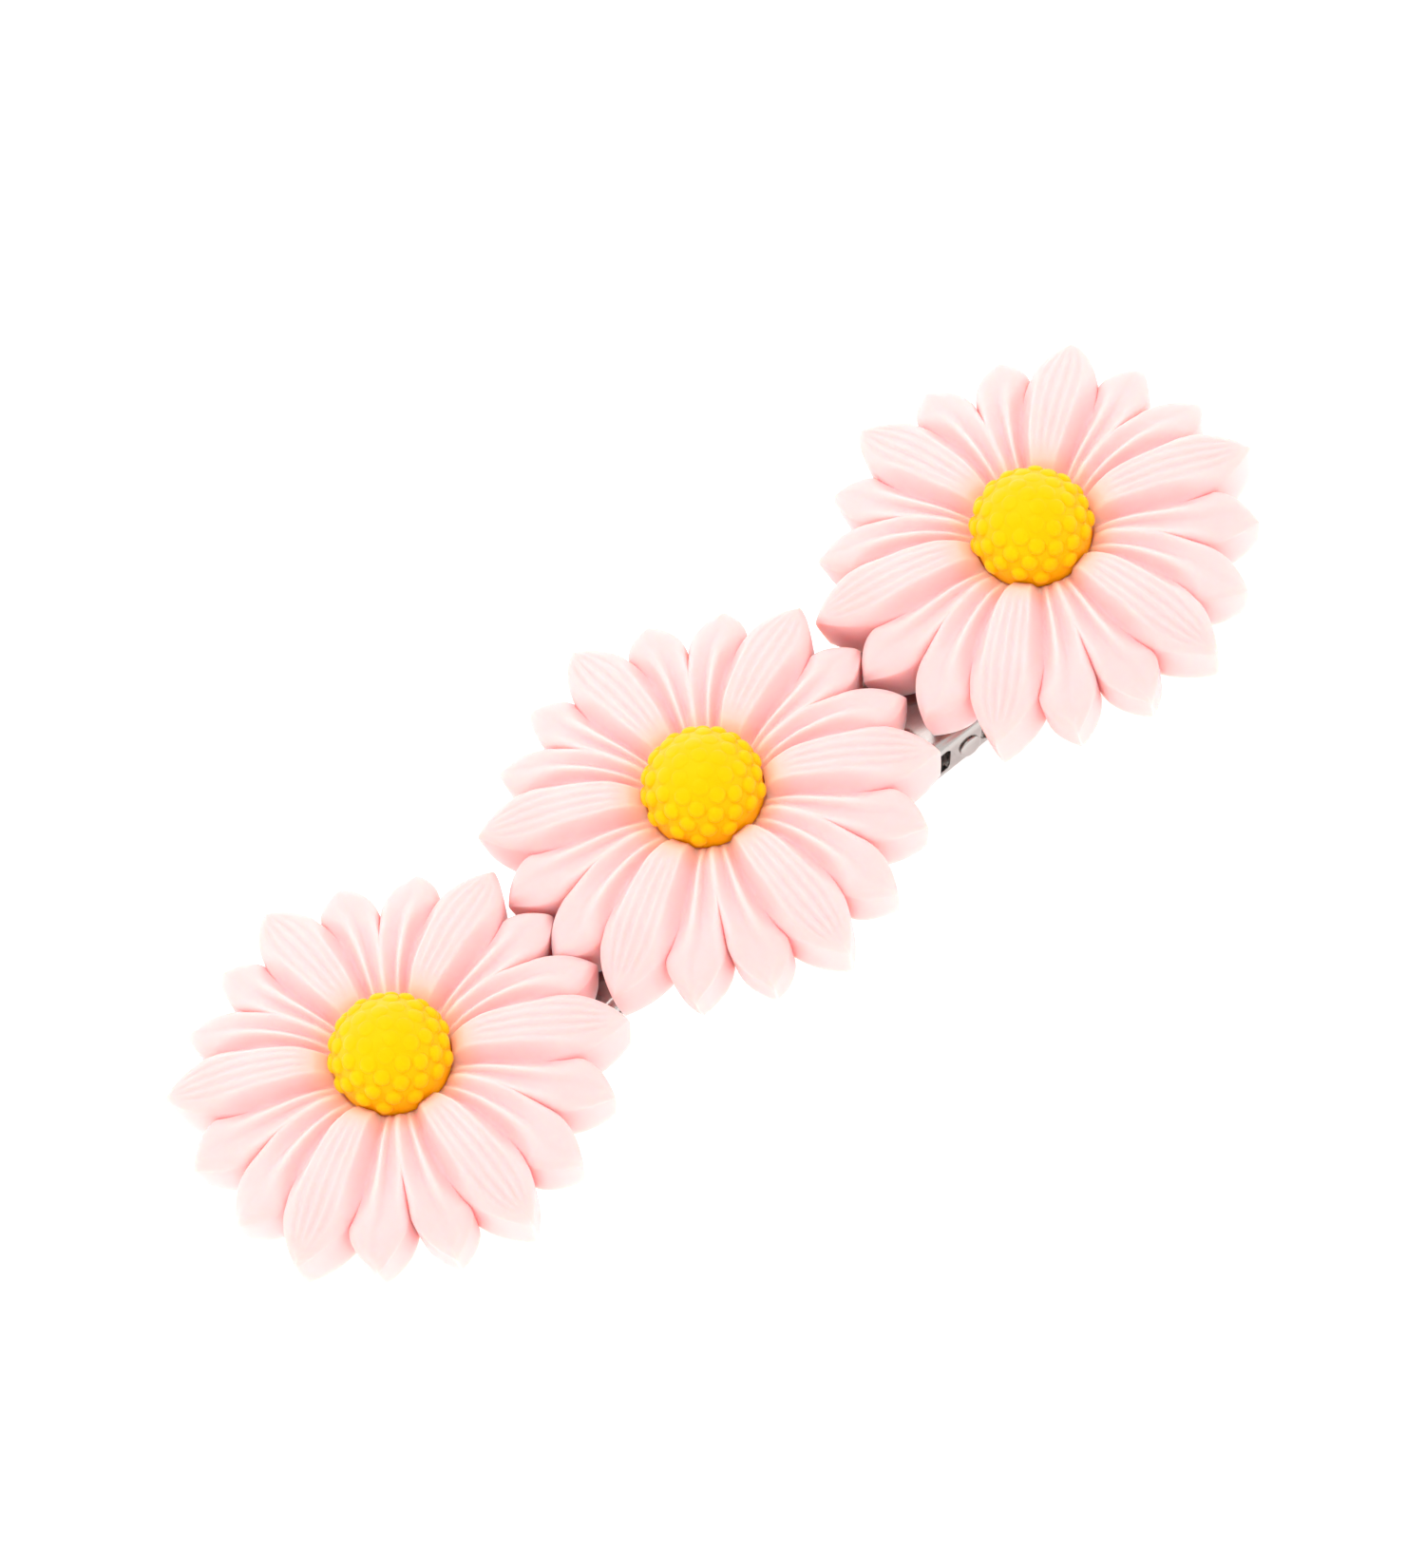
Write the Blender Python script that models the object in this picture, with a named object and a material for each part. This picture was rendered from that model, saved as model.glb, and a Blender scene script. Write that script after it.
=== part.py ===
"""A sprung metal hair clip that carries three resin daisies in a row.

The clip is two formed steel leaves on one pin, held shut by a torsion spring. Each daisy is a
moulded petal rosette with a domed centre seated in it, and is glued to the top leaf.

Frame: X runs along the clip, from the jaw tip (-X) to the finger pads (+X). Z points up, the way
the daisies face. The origin is on the underside of the lower jaw, below the middle daisy.
Blender units are metres.
"""

import math

import bmesh
import bpy
from mathutils import Matrix, Vector

MM = 0.001

# Daisies
LARGE_PETAL_LENGTH = 11.3 * MM
SMALL_PETAL_LENGTH = 10.75 * MM
LARGE_PETAL_ANGLES = (27.4, 87.1, 143.4, 207.0, 266.6, 329.0)
# Each daisy's name, its place along and across the clip, and its turn in degrees.
DAISIES = (
    ("left", -20.05 * MM, -0.1 * MM, -1.5),
    ("middle", 0.0, 0.3 * MM, 0.0),
    ("right", 20.6 * MM, -0.15 * MM, 13.4),
)
NOTCH_RADIUS_BY_LARGE = 8.9 * MM
NOTCH_RADIUS_BETWEEN_SMALL = 8.1 * MM
NOTCH_SHARPNESS = 1.6
LARGE_ROOT_HEIGHT = 4.3 * MM
SMALL_ROOT_HEIGHT = 4.0 * MM
LARGE_TIP_HEIGHT = 2.0 * MM
SMALL_TIP_HEIGHT = 1.7 * MM
PETAL_ARCH = 0.9 * MM
CREASE_DEPTH = 0.7 * MM
CREASE_AT_ROOT = 0.15
CREASE_AT_TIP = 0.9
PETAL_RING_SHARES = (0.0, 0.25, 0.5, 0.75, 0.93, 1.0)
WALL_DRAFT = 0.35 * MM
RECESS_FLOOR_RADIUS = 3.0 * MM
RECESS_RIM_RADIUS = 3.12 * MM
RECESS_FLOOR_HEIGHT = 2.6 * MM
CENTRE_RADIUS = 2.98 * MM
CENTRE_EQUATOR_HEIGHT = 3.6 * MM
CENTRE_TOP_HEIGHT = 6.7 * MM
GLUE_RADIUS = 3.3 * MM
GLUE_THICKNESS = 0.4 * MM
CONTACT_GAP = 0.05 * MM

# Clip leaves
SHEET = 0.45 * MM
EDGE_CURL = 0.6 * MM
HINGE_X = 12.0 * MM
JAW_TIP_X = -28.2 * MM
PAD_END_X = 27.0 * MM
STACK_HEIGHT = 3.5 * MM
UPPER_HALF_WIDTH = 4.1 * MM
UPPER_TIP_HALF_WIDTH = 3.2 * MM
UPPER_PAD_HALF_WIDTH = 4.4 * MM
SIDE_CLEARANCE = 0.12 * MM
NOSE_LENGTH = 2.2 * MM
END_HALF_WIDTH = 1.5 * MM
PAD_CORNER = 2.0 * MM
PAD_END_HALF_WIDTH = 2.6 * MM
LOWER_TIP_SETBACK = 0.6 * MM
FLAT_AT_HINGE = 3.0 * MM
PAD_SLOPE = math.radians(20.0)
BEND_LENGTH = 1.2 * MM
JAW_GAP = 0.1 * MM
EAR_HALF_LENGTH = 3.0 * MM
UPPER_EAR_DEPTH = 2.15 * MM
LOWER_EAR_HEIGHT = 2.9 * MM
TOOTH_COUNT = 7
TOOTH_PITCH = 1.7 * MM
TOOTH_LAND = 0.15 * MM

# Pin and spring
PIN_RADIUS = 0.45 * MM
PIN_HOLE_RADIUS = 0.5 * MM
PIN_BELOW_TOP = 1.4 * MM
PIN_HEAD_RADIUS = 0.75 * MM
PIN_HEAD_THICKNESS = 0.3 * MM
PIN_CROWN_RADIUS = 0.45 * MM
WIRE_RADIUS = 0.18 * MM
COIL_CLEARANCE = 0.05 * MM
COIL_FULL_TURNS = 6
COIL_PITCH = 0.42 * MM
SPRING_LEG_LENGTH = 7.0 * MM

# How finely the curved shapes are cut
ROUND_STEPS = 24
DOME_STEPS = 6
EDGE_ARC_STEPS = 3
EAR_STEPS = 6
END_STEP_SHARES = (0.02, 0.12, 0.3, 0.6, 1.0)
BEND_STEP_SHARES = (-1, -0.5, 0, 0.5, 1)
COIL_STEPS_PER_TURN = 14
SMOOTH_ANGLE = math.radians(35.0)

# Finishes: base colour, roughness and metallic
PETAL_RESIN = ((0.93, 0.62, 0.58), 0.45, 0.0)
CENTRE_RESIN = ((0.98, 0.72, 0.0), 0.4, 0.0)
CLEAR_GLUE = ((0.85, 0.83, 0.78), 0.3, 0.0)
PLATED_STEEL = ((0.75, 0.74, 0.72), 0.25, 1.0)

# The straight run of the lower jaw rises from the flat at the hinge to meet the top leaf at the tip.
JAW_START_X = HINGE_X - FLAT_AT_HINGE
PAD_START_X = HINGE_X + FLAT_AT_HINGE
LOWER_TIP_X = JAW_TIP_X + LOWER_TIP_SETBACK
JAW_RISE = STACK_HEIGHT - SHEET - EDGE_CURL - JAW_GAP
JAW_SLOPE = math.atan2(JAW_RISE, JAW_START_X - LOWER_TIP_X)
BASE_Z = -math.tan(JAW_SLOPE) * JAW_START_X
TOP_Z = BASE_Z + STACK_HEIGHT
PIN_Z = TOP_Z - PIN_BELOW_TOP
DAISY_BACK_Z = TOP_Z + GLUE_THICKNESS + 2 * CONTACT_GAP


def clear_scene():
    for obj in list(bpy.data.objects):
        bpy.data.objects.remove(obj)


def make_material(name, finish):
    colour, roughness, metallic = finish
    material = bpy.data.materials.new(name)
    material.use_nodes = True
    shader = material.node_tree.nodes["Principled BSDF"]
    shader.inputs["Base Color"].default_value = (*colour, 1.0)
    shader.inputs["Roughness"].default_value = roughness
    shader.inputs["Metallic"].default_value = metallic
    return material


def add_object(name, data, material, parent, location=(0, 0, 0), rotation=(0, 0, 0)):
    obj = bpy.data.objects.new(name, data)
    obj.data.materials.append(material)
    bpy.context.scene.collection.objects.link(obj)
    obj.parent = parent
    obj.location = location
    obj.rotation_euler = rotation
    return obj


def add_empty(name, location, parent=None):
    empty = bpy.data.objects.new(name, None)
    bpy.context.scene.collection.objects.link(empty)
    empty.parent = parent
    empty.location = location
    return empty


def mesh_from_rings(name, rings):
    """A closed mesh from rings of equal length. A ring of one point closes an end to that point."""
    mesh_data = bpy.data.meshes.new(name)
    bm = bmesh.new()
    loops = [[bm.verts.new(point) for point in ring] for ring in rings]
    for first, second in zip(loops, loops[1:]):
        count = max(len(first), len(second))
        for i in range(count):
            j = (i + 1) % count
            corners = [first[i % len(first)], first[j % len(first)]]
            corners += [second[j % len(second)], second[i % len(second)]]
            bm.faces.new(list(dict.fromkeys(corners)))
    for end in (loops[0], loops[-1]):
        if len(end) > 1:
            bm.faces.new(end)
    bmesh.ops.recalc_face_normals(bm, faces=bm.faces)
    bm.to_mesh(mesh_data)
    bm.free()
    mesh_data.shade_smooth()
    mesh_data.set_sharp_from_angle(angle=SMOOTH_ANGLE)
    return mesh_data


def turned_mesh(name, profile, steps=ROUND_STEPS):
    """A solid of revolution about Z. The profile is (radius, z) points from one pole to the other."""
    rings = []
    for radius, z in profile:
        if radius == 0:
            rings.append([(0, 0, z)])
            continue
        turns = [math.tau * i / steps for i in range(steps)]
        rings.append([(radius * math.cos(t), radius * math.sin(t), z) for t in turns])
    return mesh_from_rings(name, rings)


# Daisies


def daisy_petals():
    """(angle in degrees, is large) of each petal in turn: two small ones between each large pair."""
    petals = []
    for i, angle in enumerate(LARGE_PETAL_ANGLES):
        following = LARGE_PETAL_ANGLES[(i + 1) % len(LARGE_PETAL_ANGLES)]
        gap = (following - angle) % 360
        petals.append((angle, True))
        petals.append((angle + gap / 3, False))
        petals.append((angle + 2 * gap / 3, False))
    return petals


def daisy_directions():
    """Four directions on each petal: (degrees, share of the way into the notch, petal, notch radius)."""
    petals = daisy_petals()
    found = []
    for i, (angle, large) in enumerate(petals):
        angle_before, large_before = petals[i - 1]
        angle_after, large_after = petals[(i + 1) % len(petals)]
        before = (angle - angle_before) % 360 / 2
        after = (angle_after - angle) % 360 / 2
        notch_before = notch_radius(large or large_before)
        notch_after = notch_radius(large or large_after)
        found.append((angle - before, 1.0, large, notch_before))
        found.append((angle - before / 2, 0.5, large, notch_before))
        found.append((angle, 0.0, large, notch_after))
        found.append((angle + after / 2, 0.5, large, notch_after))
    return found


def notch_radius(beside_large):
    return NOTCH_RADIUS_BY_LARGE if beside_large else NOTCH_RADIUS_BETWEEN_SMALL


def petal_height(share, into_notch, large):
    """Height of the petal's top above the daisy's back, at a share of the way from root to tip."""
    root = LARGE_ROOT_HEIGHT if large else SMALL_ROOT_HEIGHT
    tip = LARGE_TIP_HEIGHT if large else SMALL_TIP_HEIGHT
    if into_notch == 1.0:
        root, tip = SMALL_ROOT_HEIGHT, SMALL_TIP_HEIGHT
    arch = PETAL_ARCH * 4 * share * (1 - share)
    crease = CREASE_DEPTH * into_notch**2 * math.sin(math.pi * min(share + CREASE_AT_ROOT, CREASE_AT_TIP))
    return root + (tip - root) * share + arch - crease


def rosette_mesh(name):
    """The pink rosette: a recess for the centre, petals with creases between them, and a flat back."""
    directions = daisy_directions()

    def ring(radius_of, height_of):
        points = []
        for angle, into_notch, large, notch in directions:
            length = LARGE_PETAL_LENGTH if large else SMALL_PETAL_LENGTH
            edge = length - (length - notch) * into_notch**NOTCH_SHARPNESS
            radius = radius_of(edge)
            turn = math.radians(angle)
            height = height_of(into_notch, large)
            points.append((radius * math.cos(turn), radius * math.sin(turn), height))
        return points

    def top_ring(share):
        def radius_of(edge):
            return RECESS_RIM_RADIUS + (edge - RECESS_RIM_RADIUS) * share

        return ring(radius_of, lambda into, large: petal_height(share, into, large))

    rings = [[(0, 0, RECESS_FLOOR_HEIGHT)]]
    rings.append(ring(lambda edge: RECESS_FLOOR_RADIUS, lambda into, large: RECESS_FLOOR_HEIGHT))
    rings += [top_ring(share) for share in PETAL_RING_SHARES]
    rings.append(ring(lambda edge: edge - WALL_DRAFT, lambda into, large: 0.0))
    rings.append([(0, 0, 0)])
    return mesh_from_rings(name, rings)


def centre_mesh(name):
    """The domed centre: it fills the recess and stands above the petals' roots."""
    seat = RECESS_FLOOR_HEIGHT + CONTACT_GAP
    profile = [(0, seat), (RECESS_FLOOR_RADIUS - CONTACT_GAP, seat)]
    profile.append((CENTRE_RADIUS, CENTRE_EQUATOR_HEIGHT))
    for i in range(1, DOME_STEPS):
        turn = math.pi / 2 * i / DOME_STEPS
        rise = (CENTRE_TOP_HEIGHT - CENTRE_EQUATOR_HEIGHT) * math.sin(turn)
        profile.append((CENTRE_RADIUS * math.cos(turn), CENTRE_EQUATOR_HEIGHT + rise))
    profile.append((0, CENTRE_TOP_HEIGHT))
    return turned_mesh(name, profile)


def glue_mesh(name):
    """A pressed dab of glue, with a rounded rim."""
    rim = GLUE_THICKNESS / 2
    inner = GLUE_RADIUS - rim
    profile = [(0, 0), (inner, 0), (GLUE_RADIUS, rim), (inner, GLUE_THICKNESS)]
    return turned_mesh(name, profile + [(0, GLUE_THICKNESS)])


def build_daisies(parent, petal_resin, centre_resin, glue):
    rosette = rosette_mesh("petal_rosette")
    centre = centre_mesh("flower_centre")
    dab = glue_mesh("glue_pad")
    for side, along, across, turn in DAISIES:
        spin = (0, 0, math.radians(turn))
        back = (along, across, DAISY_BACK_Z)
        add_object("petal_rosette_" + side, rosette, petal_resin, parent, back, spin)
        add_object("flower_centre_" + side, centre, centre_resin, parent, back, spin)
        add_object("glue_pad_" + side, dab, glue, parent, (along, across, TOP_Z + CONTACT_GAP))


# Leaves


def ramp(distance):
    """0 before a bend, the distance past it after, and a parabola through the bend."""
    if distance <= -BEND_LENGTH:
        return 0.0
    if distance >= BEND_LENGTH:
        return distance
    return (distance + BEND_LENGTH) ** 2 / (4 * BEND_LENGTH)


def rounded_end(distance, length, end_half_width, half_width):
    """Half-width near an end: an ellipse from the end's flat out to the full width."""
    if distance >= length:
        return half_width
    across = math.sqrt(max(0.0, 1 - (1 - distance / length) ** 2))
    return end_half_width + (half_width - end_half_width) * across


def plan_half_width(x, clearance, tip_x):
    """Half-width of a leaf at x. The lower leaf keeps a clearance inside the upper one's edges."""
    if x > HINGE_X:
        share = (x - HINGE_X) / (PAD_END_X - HINGE_X)
        full = UPPER_HALF_WIDTH + (UPPER_PAD_HALF_WIDTH - UPPER_HALF_WIDTH) * share
    else:
        share = (HINGE_X - x) / (HINGE_X - JAW_TIP_X)
        full = UPPER_HALF_WIDTH + (UPPER_TIP_HALF_WIDTH - UPPER_HALF_WIDTH) * share
    full -= clearance
    nose = rounded_end(x - tip_x, NOSE_LENGTH, END_HALF_WIDTH, full)
    pad = rounded_end(PAD_END_X - x, PAD_CORNER, PAD_END_HALF_WIDTH, full)
    return min(nose, pad)


def ear(x, reach):
    """Depth of the turned edge: a small curl all along, and a bell-shaped ear at the hinge."""
    offset = abs(x - HINGE_X) / EAR_HALF_LENGTH
    if offset >= 1:
        return EDGE_CURL
    return EDGE_CURL + (reach - EDGE_CURL) * (0.5 + 0.5 * math.cos(math.pi * offset))


def stations(tip_x, extra):
    """Places along the clip for cross-sections: close together at the ends, bends and ears."""
    places = {tip_x, PAD_END_X}
    for share in END_STEP_SHARES:
        places.add(tip_x + NOSE_LENGTH * share)
        places.add(PAD_END_X - PAD_CORNER * share)
    for i in range(-EAR_STEPS, EAR_STEPS + 1):
        places.add(HINGE_X + EAR_HALF_LENGTH * i / EAR_STEPS)
    return sorted(places | set(extra))


def leaf_section(x, z, half_width, depth, up):
    """A channel section in the plane X = x: a flat web with both edges turned down, or up."""
    centre_y = half_width - EDGE_CURL
    arc = [math.pi / 2 * i / EDGE_ARC_STEPS for i in range(EDGE_ARC_STEPS + 1)]
    outer = [(-half_width, -depth)]
    outer += [(-centre_y - EDGE_CURL * math.cos(t), EDGE_CURL * (math.sin(t) - 1)) for t in arc]
    inner_radius = EDGE_CURL - SHEET
    inner = [(-half_width + SHEET, -depth)]
    inner += [
        (-centre_y - inner_radius * math.cos(t), inner_radius * math.sin(t) - EDGE_CURL) for t in arc
    ]
    outer += [(-y, height) for y, height in reversed(outer)]
    inner += [(-y, height) for y, height in reversed(inner)]
    sign = -1 if up else 1
    return [Vector((x, y, z + sign * height)) for y, height in outer + inner[::-1]]


def add_pin_hole(leaf, cutter):
    hole = leaf.modifiers.new("pin hole", "BOOLEAN")
    hole.operation = "DIFFERENCE"
    hole.object = cutter


def pin_hole_cutter():
    length = 4 * UPPER_HALF_WIDTH
    half = length / 2
    profile = [(0, -half), (PIN_HOLE_RADIUS, -half), (PIN_HOLE_RADIUS, half), (0, half)]
    cutter = bpy.data.objects.new("pin_hole_cutter", turned_mesh("pin_hole_cutter", profile))
    bpy.context.scene.collection.objects.link(cutter)
    cutter.location = (HINGE_X, 0, PIN_Z)
    cutter.rotation_euler = (math.pi / 2, 0, 0)
    cutter.hide_render = True
    cutter.display_type = "WIRE"
    return cutter


def upper_leaf_mesh():
    rings = []
    for x in stations(JAW_TIP_X, ()):
        half_width = plan_half_width(x, 0.0, JAW_TIP_X)
        rings.append(leaf_section(x, TOP_Z, half_width, ear(x, UPPER_EAR_DEPTH), False))
    return mesh_from_rings("upper_leaf", rings)


def lower_leaf_z(x):
    """Height of the lower leaf's underside: it rises along the jaw and falls along the finger pad."""
    rise = math.tan(JAW_SLOPE) * ramp(JAW_START_X - x)
    fall = math.tan(PAD_SLOPE) * ramp(x - PAD_START_X)
    return BASE_Z + rise - fall


def lower_leaf_mesh():
    """The lower leaf, with ears at the hinge and a row of teeth on each edge behind the tip."""
    teeth_start = LOWER_TIP_X + NOSE_LENGTH + TOOTH_LAND
    tooth_places = {}
    for i in range(TOOTH_COUNT):
        root = teeth_start + TOOTH_PITCH * i
        crown = root + TOOTH_PITCH / 2
        under_top = TOP_Z - SHEET - JAW_GAP - lower_leaf_z(crown)
        for place, height in (
            (root, EDGE_CURL),
            (crown - TOOTH_LAND, under_top),
            (crown + TOOTH_LAND, under_top),
            (root + TOOTH_PITCH - TOOTH_LAND, EDGE_CURL),
        ):
            tooth_places[place] = max(height, EDGE_CURL)
    bends = []
    for centre in (JAW_START_X, PAD_START_X):
        bends += [centre + BEND_LENGTH * share for share in BEND_STEP_SHARES]
    rings = []
    for x in stations(LOWER_TIP_X, list(tooth_places) + bends):
        half_width = plan_half_width(x, SHEET + SIDE_CLEARANCE, LOWER_TIP_X)
        depth = tooth_places.get(x, ear(x, LOWER_EAR_HEIGHT))
        rings.append(leaf_section(x, lower_leaf_z(x), half_width, depth, True))
    return mesh_from_rings("lower_leaf", rings)


# Pin and spring


def pin_mesh():
    """A rivet pin: its shank runs through the four ears, with a peened head outside each upper ear."""
    shoulder = UPPER_HALF_WIDTH + CONTACT_GAP
    end = shoulder + PIN_HEAD_THICKNESS
    half = [(PIN_RADIUS, shoulder), (PIN_HEAD_RADIUS, shoulder)]
    half += [(PIN_HEAD_RADIUS, shoulder + PIN_HEAD_THICKNESS / 2), (PIN_CROWN_RADIUS, end), (0, end)]
    profile = [(radius, -z) for radius, z in reversed(half)] + half
    return turned_mesh("hinge_pin", profile)


def spring_path():
    """Centre line of the wire: a leg under the top pad, the coil round the pin, a leg on the lower pad."""
    coil_radius = PIN_RADIUS + COIL_CLEARANCE + WIRE_RADIUS
    half_turns = 2 * COIL_FULL_TURNS + 1
    width = COIL_PITCH * half_turns / 2
    clear = WIRE_RADIUS + CONTACT_GAP
    leg_end_x = HINGE_X + SPRING_LEG_LENGTH
    upper_z = TOP_Z - SHEET - clear
    path = [(leg_end_x, -width / 2, upper_z), (PAD_START_X, -width / 2, upper_z - CONTACT_GAP)]
    steps = COIL_STEPS_PER_TURN * half_turns // 2
    for i in range(steps + 1):
        share = i / steps
        turn = math.pi / 2 + math.pi * half_turns * share
        x = HINGE_X + coil_radius * math.cos(turn)
        z = PIN_Z + coil_radius * math.sin(turn)
        path.append((x, width * (share - 0.5), z))
    for x in (PAD_START_X - BEND_LENGTH, PAD_START_X, PAD_START_X + BEND_LENGTH, leg_end_x):
        along_slope = clear / math.cos(PAD_SLOPE)
        path.append((x, width / 2, lower_leaf_z(x) + SHEET + along_slope))
    return path


def spring_curve():
    curve = bpy.data.curves.new("torsion_spring", "CURVE")
    curve.dimensions = "3D"
    curve.bevel_depth = WIRE_RADIUS
    curve.bevel_resolution = 2
    curve.use_fill_caps = True
    path = spring_path()
    spline = curve.splines.new("POLY")
    spline.points.add(len(path) - 1)
    for point, place in zip(spline.points, path):
        point.co = (*place, 1.0)
    return curve


def build_clip(top, bottom, steel):
    cutter = pin_hole_cutter()
    upper = add_object("upper_leaf", upper_leaf_mesh(), steel, top)
    add_pin_hole(upper, cutter)
    lower_mesh = lower_leaf_mesh()
    lower_mesh.transform(Matrix.Translation((-HINGE_X, 0, -PIN_Z)))
    lower = add_object("lower_leaf", lower_mesh, steel, bottom)
    add_pin_hole(lower, cutter)
    turned = (math.pi / 2, 0, 0)
    add_object("hinge_pin", pin_mesh(), steel, top, (HINGE_X, 0, PIN_Z), turned)
    add_object("torsion_spring", spring_curve(), steel, top)


def main():
    clear_scene()
    petal_resin = make_material("pink_resin", PETAL_RESIN)
    centre_resin = make_material("yellow_resin", CENTRE_RESIN)
    glue = make_material("clear_glue", CLEAR_GLUE)
    steel = make_material("nickel_plated_steel", PLATED_STEEL)
    top = add_empty("clip_top", (0, 0, 0))
    bottom = add_empty("hinge_axis", (HINGE_X, 0, PIN_Z))
    build_clip(top, bottom, steel)
    build_daisies(top, petal_resin, centre_resin, glue)


main()
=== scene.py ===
"""The looks of a sprung metal hair clip that carries three resin daisies.

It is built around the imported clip: each visible piece rides on a body of that frame, and the
places of the daisies, the leaves, the pin and the spring come from the frame's own boxes.
"""

import math

import bmesh
import bpy
import numpy as np
from mathutils import Matrix, Vector


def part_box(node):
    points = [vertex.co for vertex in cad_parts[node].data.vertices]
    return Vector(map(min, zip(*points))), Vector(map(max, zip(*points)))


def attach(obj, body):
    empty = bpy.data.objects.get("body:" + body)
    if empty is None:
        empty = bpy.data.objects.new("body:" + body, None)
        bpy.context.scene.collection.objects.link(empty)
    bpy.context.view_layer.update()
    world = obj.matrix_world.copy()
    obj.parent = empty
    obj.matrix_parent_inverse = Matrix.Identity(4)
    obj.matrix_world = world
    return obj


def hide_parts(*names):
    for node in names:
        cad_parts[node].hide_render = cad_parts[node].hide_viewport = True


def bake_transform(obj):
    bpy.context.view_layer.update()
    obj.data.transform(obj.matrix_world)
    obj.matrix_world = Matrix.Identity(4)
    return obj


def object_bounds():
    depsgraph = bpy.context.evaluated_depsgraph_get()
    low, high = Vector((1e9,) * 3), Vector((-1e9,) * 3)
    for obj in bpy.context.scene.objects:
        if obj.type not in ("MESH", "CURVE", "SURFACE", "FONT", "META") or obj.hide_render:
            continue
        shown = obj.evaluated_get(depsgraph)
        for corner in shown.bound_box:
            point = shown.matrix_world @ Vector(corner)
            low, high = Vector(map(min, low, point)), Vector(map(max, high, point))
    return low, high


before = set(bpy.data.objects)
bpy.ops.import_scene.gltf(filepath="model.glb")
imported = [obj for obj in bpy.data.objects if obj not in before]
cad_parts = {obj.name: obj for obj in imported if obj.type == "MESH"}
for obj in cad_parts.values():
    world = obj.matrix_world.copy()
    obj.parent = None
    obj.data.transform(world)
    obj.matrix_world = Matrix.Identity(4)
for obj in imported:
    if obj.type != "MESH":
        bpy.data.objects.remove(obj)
cad_low, cad_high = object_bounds()

MM = 0.001

# Daisies. Lengths are in millimetres, measured from each daisy's own axis and flat back.
LARGE_PETAL_LENGTH = 11.4
SMALL_PETAL_LENGTH = 10.85
LARGE_PETAL_ANGLES = (27.0, 86.8, 143.6, 206.3, 267.1, 328.8)
DAISY_TURNS = {"left": -0.8, "middle": 0.0, "right": 13.3}
NOTCH_BY_LARGE = 8.9
NOTCH_BETWEEN_SMALL = 8.1
LENS_HALF_WIDTH = 1.78
LENS_WIDEST_SHARE = 0.6
LENS_BLUNTNESS = 2.2
LENS_ROOT_SHARE = 0.45
ROOT_RADIUS = 3.02
WALL_DRAFT = 0.35
WALL_DRAFT_CURVE = 1.3
BACK_RIM_WIDTH = 0.25
BACK_RIM_RISE = 0.05
BACK_HOLLOW_RADIUS = 6.0
BACK_HOLLOW = 0.08
MOAT_RADIUS = 2.94
MOAT_DROP = 0.06
FLOOR_RADIUS = 2.87
FLOOR_HEIGHT = 2.75

LARGE_COLUMNS = 44
SMALL_COLUMNS = 26
SHARED_ROWS = 44
GAP_ROWS = 7
TIP_ROWS = 18
WALL_ROWS = 6
ROW_SPREAD = 1.15
EDGE_CROWDING = 0.65

# Centres
CENTRE_RADIUS = 2.86
CENTRE_EQUATOR = 3.5
CENTRE_TOP = 6.4
CENTRE_SEAT = 2.77
CENTRE_FOOT_RADIUS = 2.82
CAP_SHARE = 0.84
BEAD_SPACING = 1.02
BEAD_RADIUS = 0.42
BEAD_HEIGHT = 0.25
BEAD_SHARP_DEGREES = 80
HEXAGON_PACKING = 0.866
TOP_BEAD_SHARE = 0.2
BEAD_GROWTH = (0.25, 0.6)
CENTRE_COLUMNS = 340
CENTRE_ROWS = 110
PROFILE_SAMPLES = 2001


def smooth_curve(points, x):
    """A monotone cubic through (x, value) points, flat beyond its ends."""
    px, py = np.array(points, float).T
    x = np.clip(x, px[0], px[-1])
    step = np.diff(px)
    slope = np.diff(py) / step
    rate = np.zeros(len(px))
    rate[0], rate[-1] = slope[0], slope[-1]
    same = slope[:-1] * slope[1:] > 0
    inner = np.zeros(len(px) - 2)
    inner[same] = 2 * slope[:-1][same] * slope[1:][same] / (slope[:-1] + slope[1:])[same]
    rate[1:-1] = inner
    i = np.clip(np.searchsorted(px, x, side="right") - 1, 0, len(px) - 2)
    t = (x - px[i]) / step[i]
    a = (1 + 2 * t) * (1 - t) ** 2
    b = t * (1 - t) ** 2
    c = t * t * (3 - 2 * t)
    d = t * t * (t - 1)
    return a * py[i] + b * step[i] * rate[i] + c * py[i + 1] + d * step[i] * rate[i + 1]


def smoothstep(low, high, x):
    t = np.clip((x - low) / (high - low), 0, 1)
    return t * t * (3 - 2 * t)


def roll_off(distance, width):
    """1 at an edge, 0 once a width inside it, with the section of a quarter circle."""
    t = np.clip(distance / width, 0, 1)
    return 1 - np.sqrt(1 - (1 - t) ** 2)


def slope_off(distance, width):
    """1 at a groove, 0 once a width away, eased at both ends."""
    t = np.clip(distance / width, 0, 1)
    return 0.5 + 0.5 * np.cos(math.pi * t)


def rise(distance, width):
    return 1 - slope_off(distance, width)


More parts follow.
